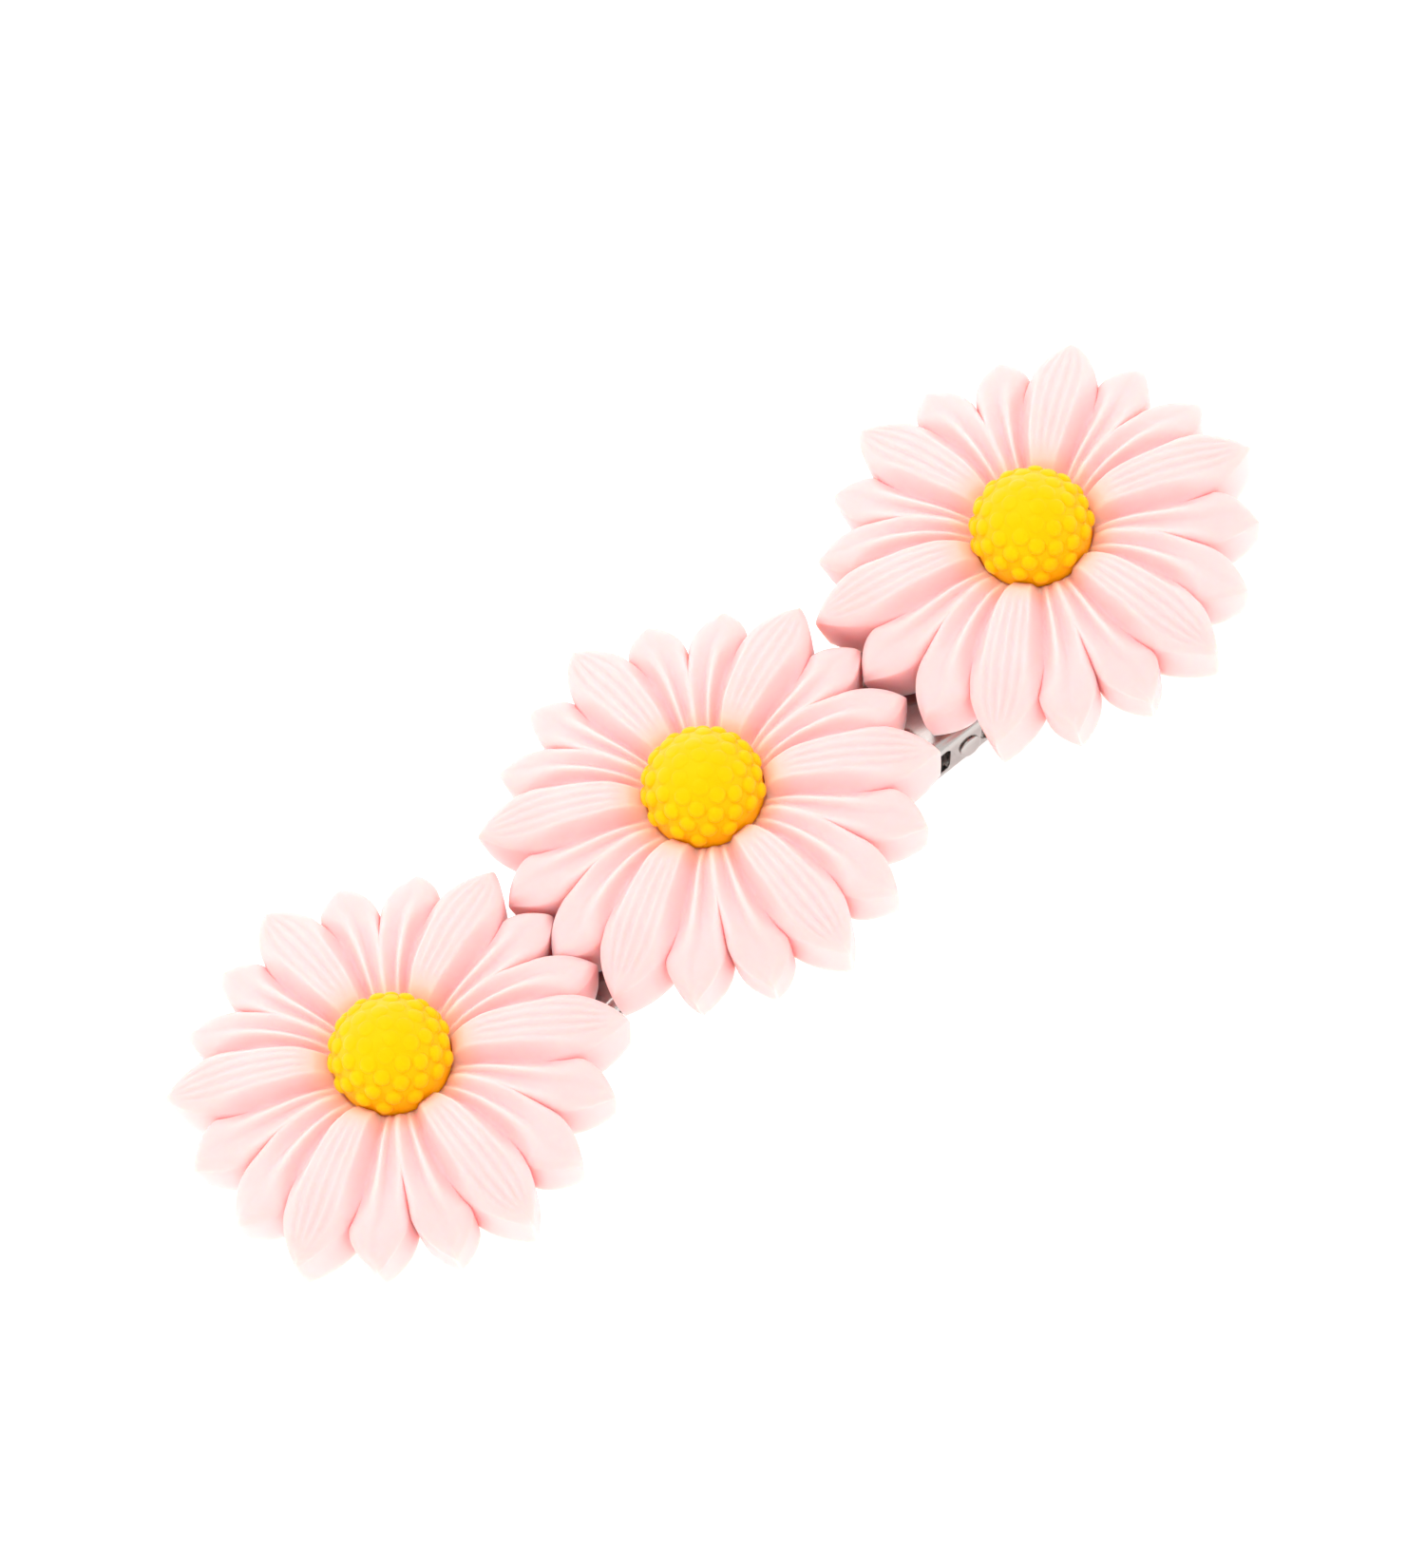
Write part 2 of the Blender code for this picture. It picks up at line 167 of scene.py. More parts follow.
# (radius, height) points of the petals' tops
LARGE_CREST = ((3.02, 3.45), (3.3, 3.75), (3.8, 4.1), (4.8, 4.35), (6.2, 4.3), (7.6, 4.0),
               (9.0, 3.5), (10.2, 3.0), (11.4, 2.55))
DEEP_GROOVE = ((3.02, 2.9), (3.8, 3.05), (4.8, 3.3), (6.0, 3.25), (7.5, 2.98), (8.3, 2.78),
               (8.9, 2.55))
LARGE_EDGE = ((8.9, 2.55), (9.4, 2.75), (10.3, 2.65), (11.4, 2.3))
RIDGE = ((3.02, 3.1), (3.5, 3.55), (4.2, 3.85), (5.4, 3.95), (6.6, 3.8), (7.6, 3.55), (8.8, 3.15),
         (10.0, 2.65), (10.85, 2.2))
SMALL_GROOVE = ((3.02, 2.95), (4.2, 3.4), (5.4, 3.5), (6.8, 3.4), (7.8, 3.25), (8.8, 3.0),
                (10.0, 2.6), (10.85, 2.2))
SMALL_RIB = ((3.02, 3.0), (4.2, 3.6), (5.4, 3.8), (6.8, 3.72), (7.8, 3.5), (8.8, 3.15),
             (10.0, 2.65), (10.85, 2.2))
SPLIT = ((3.02, 3.1), (3.5, 3.55), (4.2, 3.85), (5.4, 3.95), (6.4, 3.8), (7.2, 3.3), (8.1, 2.6))
SMALL_EDGE = ((8.1, 2.6), (8.7, 2.55), (9.8, 2.35), (10.85, 1.95))
# (radius, share of a large petal's half-width that slopes down beside its flat top)
LARGE_FLANK = ((3.02, 0.5), (4.8, 0.45), (6.5, 0.5), (8.5, 0.4), (11.4, 0.3))
# Radii over which an edge stops sloping into a groove and becomes a rounded free edge
FREE_EDGE = (7.0, 9.5)
EDGE_ROUND = 0.5
TIP_ROUND = 0.6
TIP_DROP = 0.25
TIP_BLUNTNESS = 1.8

# The large petals' crown and fine lines
CROWN = 0.15
LINE_HEIGHT = 0.03
LINES_PER_HALF = 3.2
LINES_START = (3.6, 5.0)
LINES_END = (9.6, 10.8)
LINES_SIDE = (0.5, 0.75)

# Painted light: a warm glow mixed into the petals' colour near their roots, standing in for the light
# that the yellow centre throws on them
PAINTED_GLOW_RADIUS = 4.6
PAINTED_GLOW_STRENGTH = 0.4
PAINTED_GLOW_COLOUR = (0.95, 0.58, 0.36, 1.0)

# A small petal's groove and rib, as shares of its width from its twin's side
GROOVE_AT = 0.44
RIB_AT = 0.66
RIB_FALL = 0.2
RIDGE_FALL = 0.25
RIDGE_MERGE = (7.6, 9.2)
SPLIT_START = 6.4


def lens_half_width(r):
    share = (r - ROOT_RADIUS) / (LARGE_PETAL_LENGTH - ROOT_RADIUS)
    widening = np.sin(math.pi / 2 * np.clip(share / LENS_WIDEST_SHARE, 0, 1))
    inner = LENS_ROOT_SHARE + (1 - LENS_ROOT_SHARE) * widening
    past = np.clip((share - LENS_WIDEST_SHARE) / (1 - LENS_WIDEST_SHARE), 0, 1)
    return LENS_HALF_WIDTH * inner * (1 - past**LENS_BLUNTNESS)


def lens_angle(r):
    return np.arcsin(np.clip(lens_half_width(r) / r, 0, 1))


def outline_angle(r, notch, length, at_notch):
    """How far a small petal's free edge is from its axis at a radius past the notch."""
    share = np.clip((r - notch) / (length - notch), 0, 1)
    return at_notch * (1 - share**TIP_BLUNTNESS)


def large_height(r, v):
    """Top of a large petal at a radius and a share from edge (-1) to edge (1)."""
    half = np.maximum(lens_half_width(r), 1e-6)
    u = np.abs(v)
    in_groove = r < NOTCH_BY_LARGE
    edge = np.where(in_groove, smooth_curve(DEEP_GROOVE, r), smooth_curve(LARGE_EDGE, r))
    lines = LINE_HEIGHT * np.cos(2 * math.pi * LINES_PER_HALF * v) * smoothstep(*LINES_START, r)
    lines = lines * (1 - smoothstep(*LINES_END, r)) * (1 - smoothstep(*LINES_SIDE, u))
    top = smooth_curve(LARGE_CREST, r) - CROWN * u**2 + lines
    inside = (1 - u) * half
    joined = top - (top - edge) * slope_off(inside, half * smooth_curve(LARGE_FLANK, r))
    free = top - (top - edge) * roll_off(inside, EDGE_ROUND)
    free = free - TIP_DROP * roll_off(LARGE_PETAL_LENGTH - r, TIP_ROUND)
    return joined + (free - joined) * smoothstep(*FREE_EDGE, r)


def small_height(r, q, width):
    """Top of a small petal at a radius and a share from its twin (0) to the large petal (1)."""
    groove, rib = smooth_curve(SMALL_GROOVE, r), smooth_curve(SMALL_RIB, r)
    edge = smooth_curve(SMALL_EDGE, r)
    ridge = smooth_curve(RIDGE, r) - RIDGE_FALL * smoothstep(*RIDGE_MERGE, r)
    top = ridge + (groove - ridge) * rise(q, GROOVE_AT)
    top = top + (rib - groove) * rise(q - GROOVE_AT, RIB_AT - GROOVE_AT)
    top = top - RIB_FALL * np.clip((q - RIB_AT) / (1 - RIB_AT), 0, 1) ** 2
    twin_edge = np.where(r < NOTCH_BETWEEN_SMALL, smooth_curve(SPLIT, r), edge)
    large_edge = np.where(r < NOTCH_BY_LARGE, smooth_curve(DEEP_GROOVE, r), edge)
    twin_round = EDGE_ROUND * (0.5 + 0.5 * smoothstep(SPLIT_START, NOTCH_BETWEEN_SMALL, r))
    top = top - (top - twin_edge) * roll_off(q * width, twin_round)
    inside = (1 - q) * width
    joined = top - (top - large_edge) * slope_off(inside, (1 - RIB_AT) * width)
    free = top - (top - large_edge) * roll_off(inside, EDGE_ROUND)
    free = free - TIP_DROP * roll_off(SMALL_PETAL_LENGTH - r, TIP_ROUND)
    return joined + (free - joined) * smoothstep(*FREE_EDGE, r)


def petal_list():
    """Each petal in turn, as (kind, angle of its axis, angle of the boundary before, and after)."""
    petals = []
    for i, angle in enumerate(LARGE_PETAL_ANGLES):
        following = LARGE_PETAL_ANGLES[(i + 1) % len(LARGE_PETAL_ANGLES)]
        here, gap = math.radians(angle), math.radians((following - angle) % 360)
        petals.append(("large", here, here, here))
        petals.append(("first twin", here + gap / 3, here, here + gap / 2))
        petals.append(("second twin", here + 2 * gap / 3, here + gap / 2, here + gap))
    return petals


def petal_edges(petal, r):
    """Angles of a petal's two edges at each radius."""
    kind, axis, before, after = petal
    lens = lens_angle(r)
    if kind == "large":
        return axis - lens, axis + lens
    large, twin = (before, after) if kind == "first twin" else (after, before)
    at_large = abs(axis - large) - lens_angle(np.array(NOTCH_BY_LARGE))
    by_large = outline_angle(r, NOTCH_BY_LARGE, SMALL_PETAL_LENGTH, at_large)
    by_twin = outline_angle(r, NOTCH_BETWEEN_SMALL, SMALL_PETAL_LENGTH, abs(twin - axis))
    if kind == "first twin":
        low = np.where(r <= NOTCH_BY_LARGE, before + lens, axis - by_large)
        high = np.where(r <= NOTCH_BETWEEN_SMALL, after, axis + by_twin)
    else:
        low = np.where(r <= NOTCH_BETWEEN_SMALL, before, axis - by_twin)
        high = np.where(r <= NOTCH_BY_LARGE, after - lens, axis + by_large)
    return low, high


def row_radii(length):
    """Radii of a petal's rows: up to the first notch, up to the second, and out to the tip."""
    shared = np.linspace(0, 1, SHARED_ROWS + 1) ** ROW_SPREAD
    near = ROOT_RADIUS + (NOTCH_BETWEEN_SMALL - ROOT_RADIUS) * shared
    gap = np.linspace(NOTCH_BETWEEN_SMALL, NOTCH_BY_LARGE, GAP_ROWS + 1)[1:]
    tip = np.sin(np.linspace(0, math.pi / 2, TIP_ROWS + 1))[1:]
    return np.concatenate([near, gap, NOTCH_BY_LARGE + (length - NOTCH_BY_LARGE) * tip])


def petal_grid(petal):
    """Points of one petal's top: rows from root to tip, columns from edge to edge."""
    kind = petal[0]
    large = kind == "large"
    radius = row_radii(LARGE_PETAL_LENGTH if large else SMALL_PETAL_LENGTH)[:, None]
    share = np.linspace(0, 1, (LARGE_COLUMNS if large else SMALL_COLUMNS) + 1)[None, :]
    swing = np.cos(math.pi * share)
    share = 0.5 - 0.5 * swing * (EDGE_CROWDING + (1 - EDGE_CROWDING) * np.abs(swing))
    low, high = petal_edges(petal, radius)
    angle = low + (high - low) * share
    if large:
        height = large_height(radius, 2 * share - 1)
    else:
        q = 1 - share if kind == "first twin" else share
        height = small_height(radius, q, np.maximum((high - low) * radius, 1e-6))
    return np.stack([radius * np.cos(angle), radius * np.sin(angle), height], -1)


def close_with(ring, made, faces):
    """Faces between two rings of points. Returns the second ring."""
    for i in range(len(ring)):
        j = (i + 1) % len(ring)
        faces.append([ring[i], ring[j], made[j], made[i]])
    return made


def rosette_data():
    """Vertices and faces of the rosette: the petals' tops, the recess, their walls and the back."""
    petals = petal_list()
    twin_row, large_row = SHARED_ROWS, SHARED_ROWS + GAP_ROWS
    last_row = large_row + TIP_ROWS
    rows_joined = {"large": (large_row, large_row), "first twin": (large_row, twin_row),
                   "second twin": (twin_row, large_row)}
    points, faces, index = [], [], []

    def add(point):
        points.append(point)
        return len(points) - 1

    def polar(vertex):
        x, y, z = points[vertex]
        return math.hypot(x, y), math.atan2(y, x), z

    def next_ring(ring, radius_of, height_of):
        """Adds a ring beside a ring, at each point's own angle, and the faces between them."""
        made = []
        for vertex in ring:
            r, turn, z = polar(vertex)
            radius = radius_of(r)
            made.append(add((radius * math.cos(turn), radius * math.sin(turn), height_of(z))))
        return close_with(ring, made, faces)

    def close_fan(ring, height):
        middle = add((0, 0, height))
        for i in range(len(ring)):
            faces.append([ring[i], ring[(i + 1) % len(ring)], middle])

    for p, petal in enumerate(petals):
        grid = petal_grid(petal)
        columns = grid.shape[1]
        ids = np.zeros((last_row + 1, columns), int)
        before_row, after_row = rows_joined[petal[0]]
        for row in range(last_row):
            for col in range(columns):
                if col == 0 and p > 0 and row <= before_row:
                    ids[row, col] = index[p - 1][row, -1]
                elif col == columns - 1 and p == len(petals) - 1 and row <= after_row:
                    ids[row, col] = index[0][row, 0]
                else:
                    ids[row, col] = add(grid[row, col])
        ids[last_row, :] = add(grid[last_row, columns // 2])
        index.append(ids)
        for row in range(last_row):
            for col in range(columns - 1):
                corners = [ids[row, col], ids[row + 1, col], ids[row + 1, col + 1], ids[row, col + 1]]
                faces.append(list(dict.fromkeys(corners)))

    inner = []
    for ids in index:
        inner += list(ids[0, :-1])
    ring = next_ring(inner, lambda r: MOAT_RADIUS, lambda z: z - MOAT_DROP)
    ring = next_ring(ring, lambda r: FLOOR_RADIUS, lambda z: FLOOR_HEIGHT)
    close_fan(ring, FLOOR_HEIGHT)

    outline = []
    for petal, ids in zip(petals, index):
        before_row, after_row = rows_joined[petal[0]]
        outline += list(ids[before_row:last_row + 1, 0])
        outline += list(ids[after_row + 1:last_row, -1][::-1])
    ring = outline[::-1]
    edge = [polar(vertex) for vertex in ring]
    for k in range(1, WALL_ROWS + 1):
        share = k / WALL_ROWS
        made = []
        for r, turn, z in edge:
            radius = r - WALL_DRAFT * share**WALL_DRAFT_CURVE
            made.append(add((radius * math.cos(turn), radius * math.sin(turn), z * (1 - share))))
        ring = close_with(ring, made, faces)
    ring = next_ring(ring, lambda r: r - BACK_RIM_WIDTH, lambda z: BACK_RIM_RISE)
    ring = next_ring(ring, lambda r: BACK_HOLLOW_RADIUS, lambda z: BACK_HOLLOW)
    close_fan(ring, BACK_HOLLOW)
    return np.array(points, float) * MM, faces


def centre_profile(s):
    """(radius, height) of the plain dome at a share of the way from its top to its seat."""
    turn = math.pi / 2 * np.clip(s / CAP_SHARE, 0, 1)
    under = math.pi / 2 * np.clip((s - CAP_SHARE) / (1 - CAP_SHARE), 0, 1)
    radius = CENTRE_RADIUS * np.sin(turn) - (CENTRE_RADIUS - CENTRE_FOOT_RADIUS) * (1 - np.cos(under))
    height = CENTRE_EQUATOR + (CENTRE_TOP - CENTRE_EQUATOR) * np.cos(turn)
    return radius, height - (CENTRE_EQUATOR - CENTRE_SEAT) * np.sin(under)


def centre_data():
    """A dome covered with beads in a sunflower pattern."""
    fine = np.linspace(0, 1, PROFILE_SAMPLES)
    fine_radius, fine_height = centre_profile(fine)
    length = np.hypot(np.diff(fine_radius), np.diff(fine_height))
    bands = 2 * math.pi * (fine_radius[1:] + fine_radius[:-1]) / 2 * length
    area = np.concatenate([[0], np.cumsum(bands)])
    beaded = np.interp(CAP_SHARE, fine, area)
    count = int(beaded / (BEAD_SPACING**2 * HEXAGON_PACKING))
    seed_s = np.interp((np.arange(count) + 0.5) / count * beaded, area, fine)
    seed_radius, seed_height = centre_profile(seed_s)
    golden_angle = math.pi * (3 - math.sqrt(5))
    seed_turn = np.arange(count) * golden_angle
    seed_x, seed_y = seed_radius * np.cos(seed_turn), seed_radius * np.sin(seed_turn)
    seeds = np.stack([seed_x, seed_y, seed_height], -1)

    s = np.linspace(0, 1, CENTRE_ROWS + 1)[1:]
    radius, height = centre_profile(s)
    along_r, along_h = np.gradient(radius), np.gradient(height)
    norm = np.hypot(along_r, along_h)
    normal_r, normal_h = -along_h / norm, along_r / norm
    turns = np.linspace(0, 2 * math.pi, CENTRE_COLUMNS, endpoint=False)
    points = []
    for i in range(CENTRE_ROWS):
        heights = np.full(CENTRE_COLUMNS, height[i])
        ring = np.stack([radius[i] * np.cos(turns), radius[i] * np.sin(turns), heights], -1)
        gaps = np.linalg.norm(ring[:, None, :] - seeds[None, :, :], axis=2)
        strength = TOP_BEAD_SHARE + (1 - TOP_BEAD_SHARE) * float(smoothstep(*BEAD_GROWTH, s[i]))
        bead = np.sqrt(np.clip(1 - (gaps.min(1) / BEAD_RADIUS) ** 2, 0, 1))
        lift = BEAD_HEIGHT * strength * bead
        ring[:, 0] += lift * normal_r[i] * np.cos(turns)
        ring[:, 1] += lift * normal_r[i] * np.sin(turns)
        ring[:, 2] += lift * normal_h[i]
        points.append(ring)
    ends = [[0, 0, CENTRE_TOP + BEAD_HEIGHT * TOP_BEAD_SHARE], [0, 0, CENTRE_SEAT]]
    points = np.concatenate([*points, ends])
    top, bottom = len(points) - 2, len(points) - 1
    last = (CENTRE_ROWS - 1) * CENTRE_COLUMNS
    faces = []
    for j in range(CENTRE_COLUMNS):
        k = (j + 1) % CENTRE_COLUMNS
        for i in range(CENTRE_ROWS - 1):
            a, b = i * CENTRE_COLUMNS, (i + 1) * CENTRE_COLUMNS
            faces.append([a + j, b + j, b + k, a + k])
        faces.append([top, j, k])
        faces.append([bottom, last + k, last + j])
    return points * MM, faces


# Clip. Lengths are in millimetres, and its ends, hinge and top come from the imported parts.

upper_low, upper_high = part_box("upper_leaf")
lower_low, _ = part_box("lower_leaf")
pin_low, pin_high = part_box("hinge_pin")
HINGE_X = (pin_low.x + pin_high.x) / 2 / MM
PIN_Z = (pin_low.z + pin_high.z) / 2 / MM
PIN_END = pin_high.y / MM
TOP_Z = upper_high.z / MM
JAW_TIP_X, PAD_END_X = upper_low.x / MM, upper_high.x / MM
LOWER_TIP_X = lower_low.x / MM

# Sheet metal
SHEET = 0.45
EDGE_CURL = 0.6
LIP_ROUND = 0.12
END_ROUND = 0.14
END_MARGIN = 0.15
POINT_GAP = 1e-3
ARC_POINTS = 9
LIP_POINTS = 4
WEB_SHARES = (0.2, 0.6)

# Plan and side view of the leaves
STACK_HEIGHT = 3.5
UPPER_HALF_WIDTH = 4.1
UPPER_TIP_HALF_WIDTH = 3.2
UPPER_PAD_HALF_WIDTH = 4.4
LOWER_INSET = 0.57
NOSE_LENGTH = 2.2
NOSE_END_HALF_WIDTH = 1.5
PAD_CORNER = 2.0
PAD_END_HALF_WIDTH = 2.6
FLAT_AT_HINGE = 3.0
PAD_SLOPE = math.radians(20.0)
BEND_LENGTH = 1.2
JAW_GAP = 0.1
NOSE_STATIONS = 22
PAD_STATIONS = 20
STATION_STEP = 0.12

# Ears and teeth
EAR_HALF_LENGTH = 1.2
EAR_FLAT_SHARE = 0.3
UPPER_EAR_DEPTH = 2.05
LOWER_EAR_HEIGHT = 2.9
TOOTH_COUNT = 7
TOOTH_PITCH = 1.7
TOOTH_LAND = 0.15
TOOTH_ROUND = (-0.1, 1.05)

# Pin
PIN_RADIUS = 0.45
PIN_HOLE_RADIUS = 0.5
PIN_HOLE_LENGTH = 16.0
PIN_SIDES = 64
HEAD_RADIUS = 0.62
HEAD_DEPTH = 0.35
HEAD_CHAMFER = 0.05
HEAD_CHAMFER_HEIGHT = 0.06
HEAD_RIM = 0.08
HEAD_CROWN = 0.14
HEAD_SQUARENESS = 0.8
WELD_DISTANCE = 0.0001
METAL_SHARP_DEGREES = 40

# Spring
WIRE_RADIUS = 0.18
WIRE_SIDES = 14
COIL_CLEARANCE = 0.05
COIL_HALF_TURNS = 13
COIL_PITCH = 0.42
HALF_TURN_STEPS = 14
SPRING_LEG_LENGTH = 7.0
SPRING_LEG_END = 0.3
CONTACT_GAP = 0.05

# Glue drops
GLUE_COLUMNS = 96
GLUE_ROWS = 9
GLUE_BULGE = 0.3
FIRST_GLUE_SHIFT = 1.0
GLUE_SHIFT_STEP = 1.7
# (size as a share of the radius, waves round the drop, how strongly the shift turns them)
GLUE_WAVES = ((0.035, 2, 1.0), (0.03, 3, 2.1), (0.015, 7, 0.7))

JAW_START_X = HINGE_X - FLAT_AT_HINGE
PAD_START_X = HINGE_X + FLAT_AT_HINGE
BASE_Z = TOP_Z - STACK_HEIGHT
JAW_RISE = STACK_HEIGHT - SHEET - EDGE_CURL - JAW_GAP
JAW_GRADE = JAW_RISE / (JAW_START_X - LOWER_TIP_X)


def bend(distance):
    """0 before a bend, the distance past it after, and a parabola through the bend."""
    through = np.clip(distance + BEND_LENGTH, 0, None) ** 2 / (4 * BEND_LENGTH)
    past = np.where(distance >= BEND_LENGTH, distance, through)
    return np.where(distance <= -BEND_LENGTH, 0, past)


def lower_leaf_z(x):
    jaw = JAW_GRADE * bend(JAW_START_X - x)
    return float(BASE_Z + jaw - math.tan(PAD_SLOPE) * bend(x - PAD_START_X))


def plan_half_width(x, narrower, tip_x):
    """Half-width of a leaf at x, with a rounded nose and rounded pad corners."""
    if x > HINGE_X:
        share, end_width = (x - HINGE_X) / (PAD_END_X - HINGE_X), UPPER_PAD_HALF_WIDTH
    else:
        share, end_width = (HINGE_X - x) / (HINGE_X - JAW_TIP_X), UPPER_TIP_HALF_WIDTH
    width = UPPER_HALF_WIDTH - narrower + (end_width - UPPER_HALF_WIDTH) * share
    for distance, length, end in ((x - tip_x, NOSE_LENGTH, NOSE_END_HALF_WIDTH),
                                  (PAD_END_X - x, PAD_CORNER, PAD_END_HALF_WIDTH)):
        near = min(max(1 - distance / length, 0.0), 1.0)
        width = min(width, end + (width - end) * math.sqrt(1 - near**2))
    return width


def ear(x, reach):
    """Depth of the turned edge: a small curl all along, and a round-cornered ear at the hinge."""
    offset = abs(x - HINGE_X) / EAR_HALF_LENGTH
    return EDGE_CURL + (reach - EDGE_CURL) * float(1 - smoothstep(EAR_FLAT_SHARE, 1, offset))


def tooth(x):
    """Height of the lower jaw's toothed edge at x, up to just under the top leaf."""
    count = (x - (LOWER_TIP_X + NOSE_LENGTH + TOOTH_LAND)) / TOOTH_PITCH
    if count < 0 or count >= TOOTH_COUNT:
        return EDGE_CURL
    across = abs(count % 1 - 0.5) * TOOTH_PITCH
    crown = TOP_Z - SHEET - JAW_GAP - lower_leaf_z(x)
    share = (TOOTH_PITCH / 2 - TOOTH_LAND - across) / (TOOTH_PITCH / 2 - 2 * TOOTH_LAND)
    return max(EDGE_CURL, EDGE_CURL + (crown - EDGE_CURL) * float(smoothstep(*TOOTH_ROUND, share)))


def channel(half_width, depth):
    """A closed channel section as (across, down) points: a flat web, rolled shoulders and lips."""
    centre = half_width - EDGE_CURL
    inner = EDGE_CURL - SHEET
    lip_low = depth + POINT_GAP
    shallow = max(0.0, EDGE_CURL - (lip_low - LIP_ROUND - 5 * POINT_GAP))
    outer_arc = np.linspace(0, math.acos(shallow / EDGE_CURL), ARC_POINTS)
    inner_arc = np.linspace(math.asin(min(1.0, shallow / inner)), math.pi / 2, ARC_POINTS)
    half = [(centre * share, 0) for share in WEB_SHARES]
    half += [(centre + EDGE_CURL * math.sin(t), EDGE_CURL * (1 - math.cos(t))) for t in outer_arc]
    outer_lip, inner_lip = [], []
    for t in np.linspace(0, math.pi / 2, LIP_POINTS):
        small, large = LIP_ROUND * (1 - math.cos(t)), LIP_ROUND * (1 - math.sin(t))
        outer_lip.append((half_width - small, lip_low - large))
        inner_lip.append((half_width - SHEET + large, lip_low - small))
    half += outer_lip + inner_lip
    half += [(centre + inner * math.cos(t), EDGE_CURL - inner * math.sin(t)) for t in inner_arc]
    half += [(centre * share, SHEET) for share in reversed(WEB_SHARES)]
    other = [(-y, down) for y, down in reversed(half)]
    return np.array(half + other)


def inset(section, distance):
    """The section moved inwards from its outline, which runs round it in one sense."""
    ahead = np.roll(section, -1, 0) - section
    behind = section - np.roll(section, 1, 0)
    along = ahead / np.maximum(np.linalg.norm(ahead, axis=1), 1e-9)[:, None]
    along += behind / np.maximum(np.linalg.norm(behind, axis=1), 1e-9)[:, None]
    along /= np.maximum(np.linalg.norm(along, axis=1), 1e-9)[:, None]
    return section + distance * np.stack([-along[:, 1], along[:, 0]], -1)


def leaf_stations(tip_x):
    """(x, how far the section is drawn in) along a leaf, closer at its ends, which round over."""
    ends = [(d, END_ROUND - math.sqrt(END_ROUND**2 - (END_ROUND - d) ** 2))
            for d in END_ROUND * (1 - np.cos(np.linspace(0, math.pi / 2, 5)))]
    nose = tip_x + NOSE_LENGTH * np.linspace(0, 1, NOSE_STATIONS)[1:] ** 2
    pad = PAD_END_X - PAD_CORNER * np.linspace(0, 1, PAD_STATIONS)[1:] ** 2
    middle = np.arange(tip_x + NOSE_LENGTH + STATION_STEP, PAD_END_X - PAD_CORNER, STATION_STEP)
    between = [x for x in sorted([*nose, *middle, *pad])
               if tip_x + END_MARGIN < x < PAD_END_X - END_MARGIN]
    stations = [(tip_x + d, drawn_in) for d, drawn_in in ends]
    stations += [(x, 0.0) for x in between]
    stations += [(PAD_END_X - d, drawn_in) for d, drawn_in in reversed(ends)]
    return stations


def leaf_data(tip_x, narrower, web_z, depth_at, up):
    """A leaf as rings of channel sections along X, with its end edges rounded over."""
    stations = leaf_stations(tip_x)
    points = []
    for x, drawn_in in stations:
        section = channel(plan_half_width(x, narrower, tip_x), depth_at(x))
        if drawn_in:
            section = inset(section, drawn_in)
        z = web_z(x)
        points += [(x, across, z + down if up else z - down) for across, down in section]
    size = len(section)
    last = (len(stations) - 1) * size
    quads = []
    for a in range(0, last, size):
        for j in range(size):
            k = (j + 1) % size
            quads.append([a + j, a + size + j, a + size + k, a + k])
    half = size // 2
    cap = [[half - 1, half, size - 1, 0]]
    for start in (0, half):
        for k in range(half // 2 - 1):
            cap.append([start + k, start + k + 1, start + half - 2 - k, start + half - 1 - k])
    quads += cap
    quads += [[last + corner for corner in reversed(quad)] for quad in cap]
    faces = [quad[::-1] if up else quad for quad in quads]
    return np.array(points, float) * MM, faces


def turned(profile, steps=PIN_SIDES):
    """A solid turned about Y from (radius, y) points that start and end on the axis."""
    points = [(0, profile[0][1], 0)]
    for radius, y in profile[1:-1]:
        for i in range(steps):
            turn = 2 * math.pi * i / steps
            points.append((radius * math.cos(turn), y, radius * math.sin(turn)))
    points.append((0, profile[-1][1], 0))
    faces, rings = [], len(profile) - 2
    for j in range(steps):
        k = (j + 1) % steps
        faces.append([0, 1 + j, 1 + k])
        faces.append([len(points) - 1, 1 + (rings - 1) * steps + k, 1 + (rings - 1) * steps + j])
        for i in range(rings - 1):
            a, b = 1 + i * steps, 1 + (i + 1) * steps
            faces.append([a + k, a + j, b + j, b + k])
    return np.array(points, float) * MM, faces


def pin_profile():
    """A rivet pin with low domed heads just outside the upper leaf's ears."""
    seat = PIN_END - HEAD_DEPTH
    half = [(PIN_RADIUS, seat), (HEAD_RADIUS - HEAD_CHAMFER, seat),
            (HEAD_RADIUS, seat + HEAD_CHAMFER_HEIGHT)]
    for t in np.linspace(0, math.pi / 2, 9)[:-1]:
        radius = HEAD_RADIUS * math.cos(t) ** HEAD_SQUARENESS
        half.append((radius, seat + HEAD_RIM + HEAD_CROWN * math.sin(t)))
    half.append((0, seat + HEAD_RIM + HEAD_CROWN))
    return [(radius, -y) for radius, y in reversed(half)] + half


